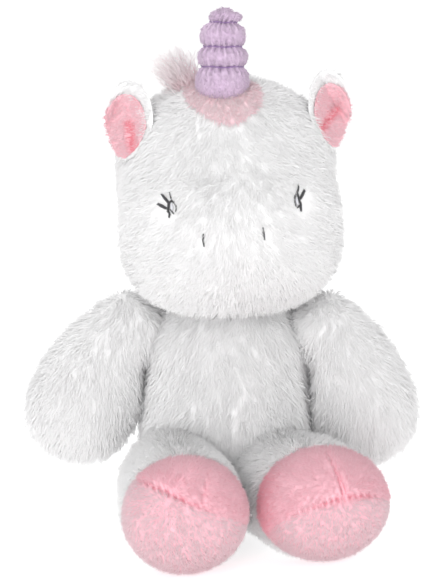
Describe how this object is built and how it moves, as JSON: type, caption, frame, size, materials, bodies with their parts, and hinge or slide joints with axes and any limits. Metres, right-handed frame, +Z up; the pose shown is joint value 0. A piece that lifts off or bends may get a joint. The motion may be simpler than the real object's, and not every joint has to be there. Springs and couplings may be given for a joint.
{
  "type": "plush unicorn",
  "caption": "Sitting plush unicorn: soft stuffed head, body, arms and round feet, with a gathered horn, folded ears, mane tuft and tail that all flex at their seams",
  "frame": {"origin": "on the floor, under the middle of the flat seat panel", "axes": "+Z up, the face looks along -Y, +X is to the right for a viewer facing the toy"},
  "size_m": [0.2212, 0.204, 0.2836],
  "materials": {
    "white_plush": "matte",
    "pink_plush": "matte",
    "pink_minky": "matte",
    "mane_plush": "matte",
    "lavender_minky": "matte",
    "lavender_thread": "satin",
    "grey_embroidery": "satin",
    "white_embroidery": "satin",
    "fibre_fill": "matte",
    "pellet_cloth": "matte",
    "pellet_plastic": "matte"
  },
  "bodies": {
    "torso": {"seat_panel": "white_plush", "belly_panel_left": "white_plush", "belly_panel_right": "white_plush", "back_panel_left": "white_plush", "back_panel_right": "white_plush", "body_stuffing": "fibre_fill", "pellet_bag": "pellet_cloth", "pellets": "pellet_plastic"},
    "neck": {"neck_collar": "white_plush"},
    "head": {"head_muzzle_panel": "white_plush", "head_chin_panel": "white_plush", "head_forehead_panel": "white_plush", "head_back_panel": "white_plush", "head_left_panel": "white_plush", "head_right_panel": "white_plush", "head_stuffing": "fibre_fill", "eye_left": "grey_embroidery", "eye_right": "grey_embroidery", "eye_highlight_left": "white_embroidery", "eye_highlight_right": "white_embroidery", "nostril_left": "grey_embroidery", "nostril_right": "grey_embroidery", "mane_patch": "pink_minky", "mane_tuft": "mane_plush", "mane_strip": "mane_plush"},
    "horn": {"horn_cover": "lavender_minky", "horn_stuffing": "fibre_fill", "horn_thread_1": "lavender_thread", "horn_thread_2": "lavender_thread", "horn_thread_3": "lavender_thread"},
    "left_ear": {"ear_back_left": "white_plush", "ear_lining_left": "pink_minky"},
    "right_ear": {"ear_back_right": "white_plush", "ear_lining_right": "pink_minky"},
    "left_arm": {"arm_front_panel_left": "white_plush", "arm_back_panel_left": "white_plush", "arm_stuffing_left": "fibre_fill"},
    "right_arm": {"arm_front_panel_right": "white_plush", "arm_back_panel_right": "white_plush", "arm_stuffing_right": "fibre_fill"},
    "left_leg": {"leg_cover_left": "white_plush", "leg_stuffing_left": "fibre_fill", "foot_sole_left": "pink_plush", "foot_upper_a_left": "pink_plush", "foot_upper_b_left": "pink_plush", "foot_stuffing_left": "fibre_fill"},
    "right_leg": {"leg_cover_right": "white_plush", "leg_stuffing_right": "fibre_fill", "foot_sole_right": "pink_plush", "foot_upper_a_right": "pink_plush", "foot_upper_b_right": "pink_plush", "foot_stuffing_right": "fibre_fill"},
    "tail": {"tail_hair": "mane_plush"}
  },
  "joints": [
    {"name": "neck_turn", "type": "hinge", "parent": "torso", "child": "neck", "pos_m": [0, 0.004, 0.128], "axis": [0, 0, 1], "range_deg": [-20, 20], "stiffness_Nm_per_rad": 0.6},
    {"name": "neck_nod", "type": "hinge", "parent": "neck", "child": "head", "pos_m": [0, 0.004, 0.128], "axis": [1, 0, 0], "range_deg": [-12, 8], "stiffness_Nm_per_rad": 1.2},
    {"name": "horn_bend", "type": "hinge", "parent": "head", "child": "horn", "pos_m": [-0.00253, -0.02024, 0.24293], "axis": [0.9975, 0.0698, -0.007], "range_deg": [-10, 15], "stiffness_Nm_per_rad": 0.1},
    {"name": "left_ear_fold", "type": "hinge", "parent": "head", "child": "left_ear", "pos_m": [-0.05015, -0.00552, 0.21929], "axis": [0.3962, 0.0277, 0.9178], "range_deg": [-18, 14], "stiffness_Nm_per_rad": 0.05},
    {"name": "right_ear_fold", "type": "hinge", "parent": "head", "child": "right_ear", "pos_m": [0.04801, 0.00134, 0.22376], "axis": [-0.4775, -0.0334, 0.878], "range_deg": [-25, 25], "stiffness_Nm_per_rad": 0.05},
    {"name": "left_arm_swing", "type": "hinge", "parent": "torso", "child": "left_arm", "pos_m": [-0.0436, -0.002, 0.106], "axis": [1, 0, 0], "range_deg": [-35, 30], "stiffness_Nm_per_rad": 0.25},
    {"name": "right_arm_swing", "type": "hinge", "parent": "torso", "child": "right_arm", "pos_m": [0.0436, -0.002, 0.106], "axis": [1, 0, 0], "range_deg": [-35, 30], "stiffness_Nm_per_rad": 0.25},
    {"name": "left_leg_swing", "type": "hinge", "parent": "torso", "child": "left_leg", "pos_m": [-0.029, -0.041, 0.03], "axis": [1, 0, 0], "range_deg": [-10, 24], "stiffness_Nm_per_rad": 0.4},
    {"name": "right_leg_swing", "type": "hinge", "parent": "torso", "child": "right_leg", "pos_m": [0.029, -0.041, 0.03], "axis": [1, 0, 0], "range_deg": [-10, 24], "stiffness_Nm_per_rad": 0.4},
    {"name": "tail_swing", "type": "hinge", "parent": "torso", "child": "tail", "pos_m": [0, 0.0475, 0.052], "axis": [0, 0, 1], "range_deg": [-30, 30], "stiffness_Nm_per_rad": 0.05}
  ]
}
